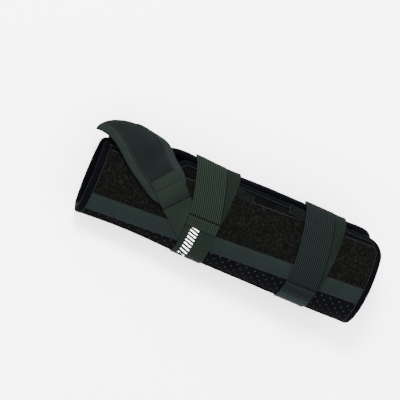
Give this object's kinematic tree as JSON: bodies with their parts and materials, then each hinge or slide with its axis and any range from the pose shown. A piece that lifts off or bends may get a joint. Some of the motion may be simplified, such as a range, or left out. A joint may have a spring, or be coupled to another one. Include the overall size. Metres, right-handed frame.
{
  "type": "wrist splint",
  "caption": "Soft forearm and wrist splint with a hinged back half, two wrap straps, a padded thumb strap and two removable flat stays.",
  "frame": {"origin": "centre of the bounding box in plan, at the level of the flat face under the palm that it rests on", "axes": "+X towards the elbow, +Y towards the thumb side, +Z out of the back of the hand"},
  "size_m": [0.28, 0.0964, 0.0698],
  "materials": {
    "liner_fabric": "brushed knit",
    "foam": "matte, perforated",
    "loop_fabric": "napped loop pile",
    "pocket_tape": "smooth woven",
    "binding_tape": "folded stretch tape",
    "gusset_fabric": "stretch knit",
    "webbing": "woven",
    "thumb_padding": "smooth padded fabric",
    "thumb_rim": "folded padded edge",
    "hook_tape": "hook tape",
    "smooth_tab": "smooth laminated",
    "elastic": "ribbed elastic",
    "elastic_band": "plain elastic",
    "stay_metal": "matte bar"
  },
  "bodies": {
    "palmar_half": {"palmar_liner": "liner_fabric", "palmar_panel": "foam", "palmar_facing": "loop_fabric", "palmar_stay_pocket": "pocket_tape", "palmar_hand_binding": "binding_tape", "palmar_elbow_binding": "binding_tape", "palmar_rim_binding": "binding_tape", "ulnar_gusset": "gusset_fabric", "ulnar_gusset_ends": "gusset_fabric", "thumb_anchor": "loop_fabric"},
    "dorsal_half": {"dorsal_liner": "liner_fabric", "dorsal_panel": "foam", "dorsal_thumb_margin": "foam", "dorsal_loop_panel": "loop_fabric", "dorsal_stay_pocket": "pocket_tape", "dorsal_ulnar_margin": "foam", "dorsal_hand_binding": "binding_tape", "dorsal_elbow_binding": "binding_tape", "dorsal_thumb_binding": "binding_tape", "thumb_webbing_base": "webbing", "wrist_tab": "smooth_tab", "wrist_sewn_end": "elastic", "forearm_tab": "smooth_tab", "forearm_sewn_end": "elastic"},
    "wrist_strap": {"wrist_elastic": "elastic", "wrist_band": "elastic_band", "wrist_hook": "hook_tape"},
    "forearm_strap": {"forearm_elastic": "elastic", "forearm_band": "elastic_band", "forearm_hook": "hook_tape"},
    "thumb_strap": {"thumb_pad": "thumb_padding", "thumb_pad_hand_rim": "thumb_rim", "thumb_pad_elbow_rim": "thumb_rim", "thumb_pad_hook": "hook_tape", "thumb_webbing": "webbing", "thumb_webbing_top": "webbing"},
    "dorsal_stay_bar": {"dorsal_stay": "stay_metal"},
    "palmar_stay_bar": {"palmar_stay": "stay_metal"}
  },
  "joints": [
    {"name": "dorsal_open", "type": "hinge", "parent": "palmar_half", "child": "dorsal_half", "pos_m": [0.0065, -0.04933, 0.0279], "axis": [0.9986, 0, 0.0524], "range_deg": [0, 95]},
    {"name": "wrist_strap_open", "type": "hinge", "parent": "dorsal_half", "child": "wrist_strap", "pos_m": [-0.0204, -0.00753, 0.05601], "axis": [0.9944, 0, 0.106], "range_deg": [0, 120]},
    {"name": "forearm_strap_open", "type": "hinge", "parent": "dorsal_half", "child": "forearm_strap", "pos_m": [0.0832, -0.02853, 0.06121], "axis": [0.9953, 0, 0.0967], "range_deg": [0, 120]},
    {"name": "thumb_strap_open", "type": "hinge", "parent": "dorsal_half", "child": "thumb_strap", "pos_m": [-0.04895, -0.00403, 0.05212], "axis": [0.6599, 0.7456, 0.0928], "range_deg": [0, 80]},
    {"name": "dorsal_stay_slide", "type": "slide", "parent": "dorsal_half", "child": "dorsal_stay_bar", "axis": [0.9926, 0.0471, 0.1123], "range_m": [0, 0.2]},
    {"name": "palmar_stay_slide", "type": "slide", "parent": "palmar_half", "child": "palmar_stay_bar", "axis": [1, 0, -0.0003], "range_m": [0, 0.2]}
  ]
}
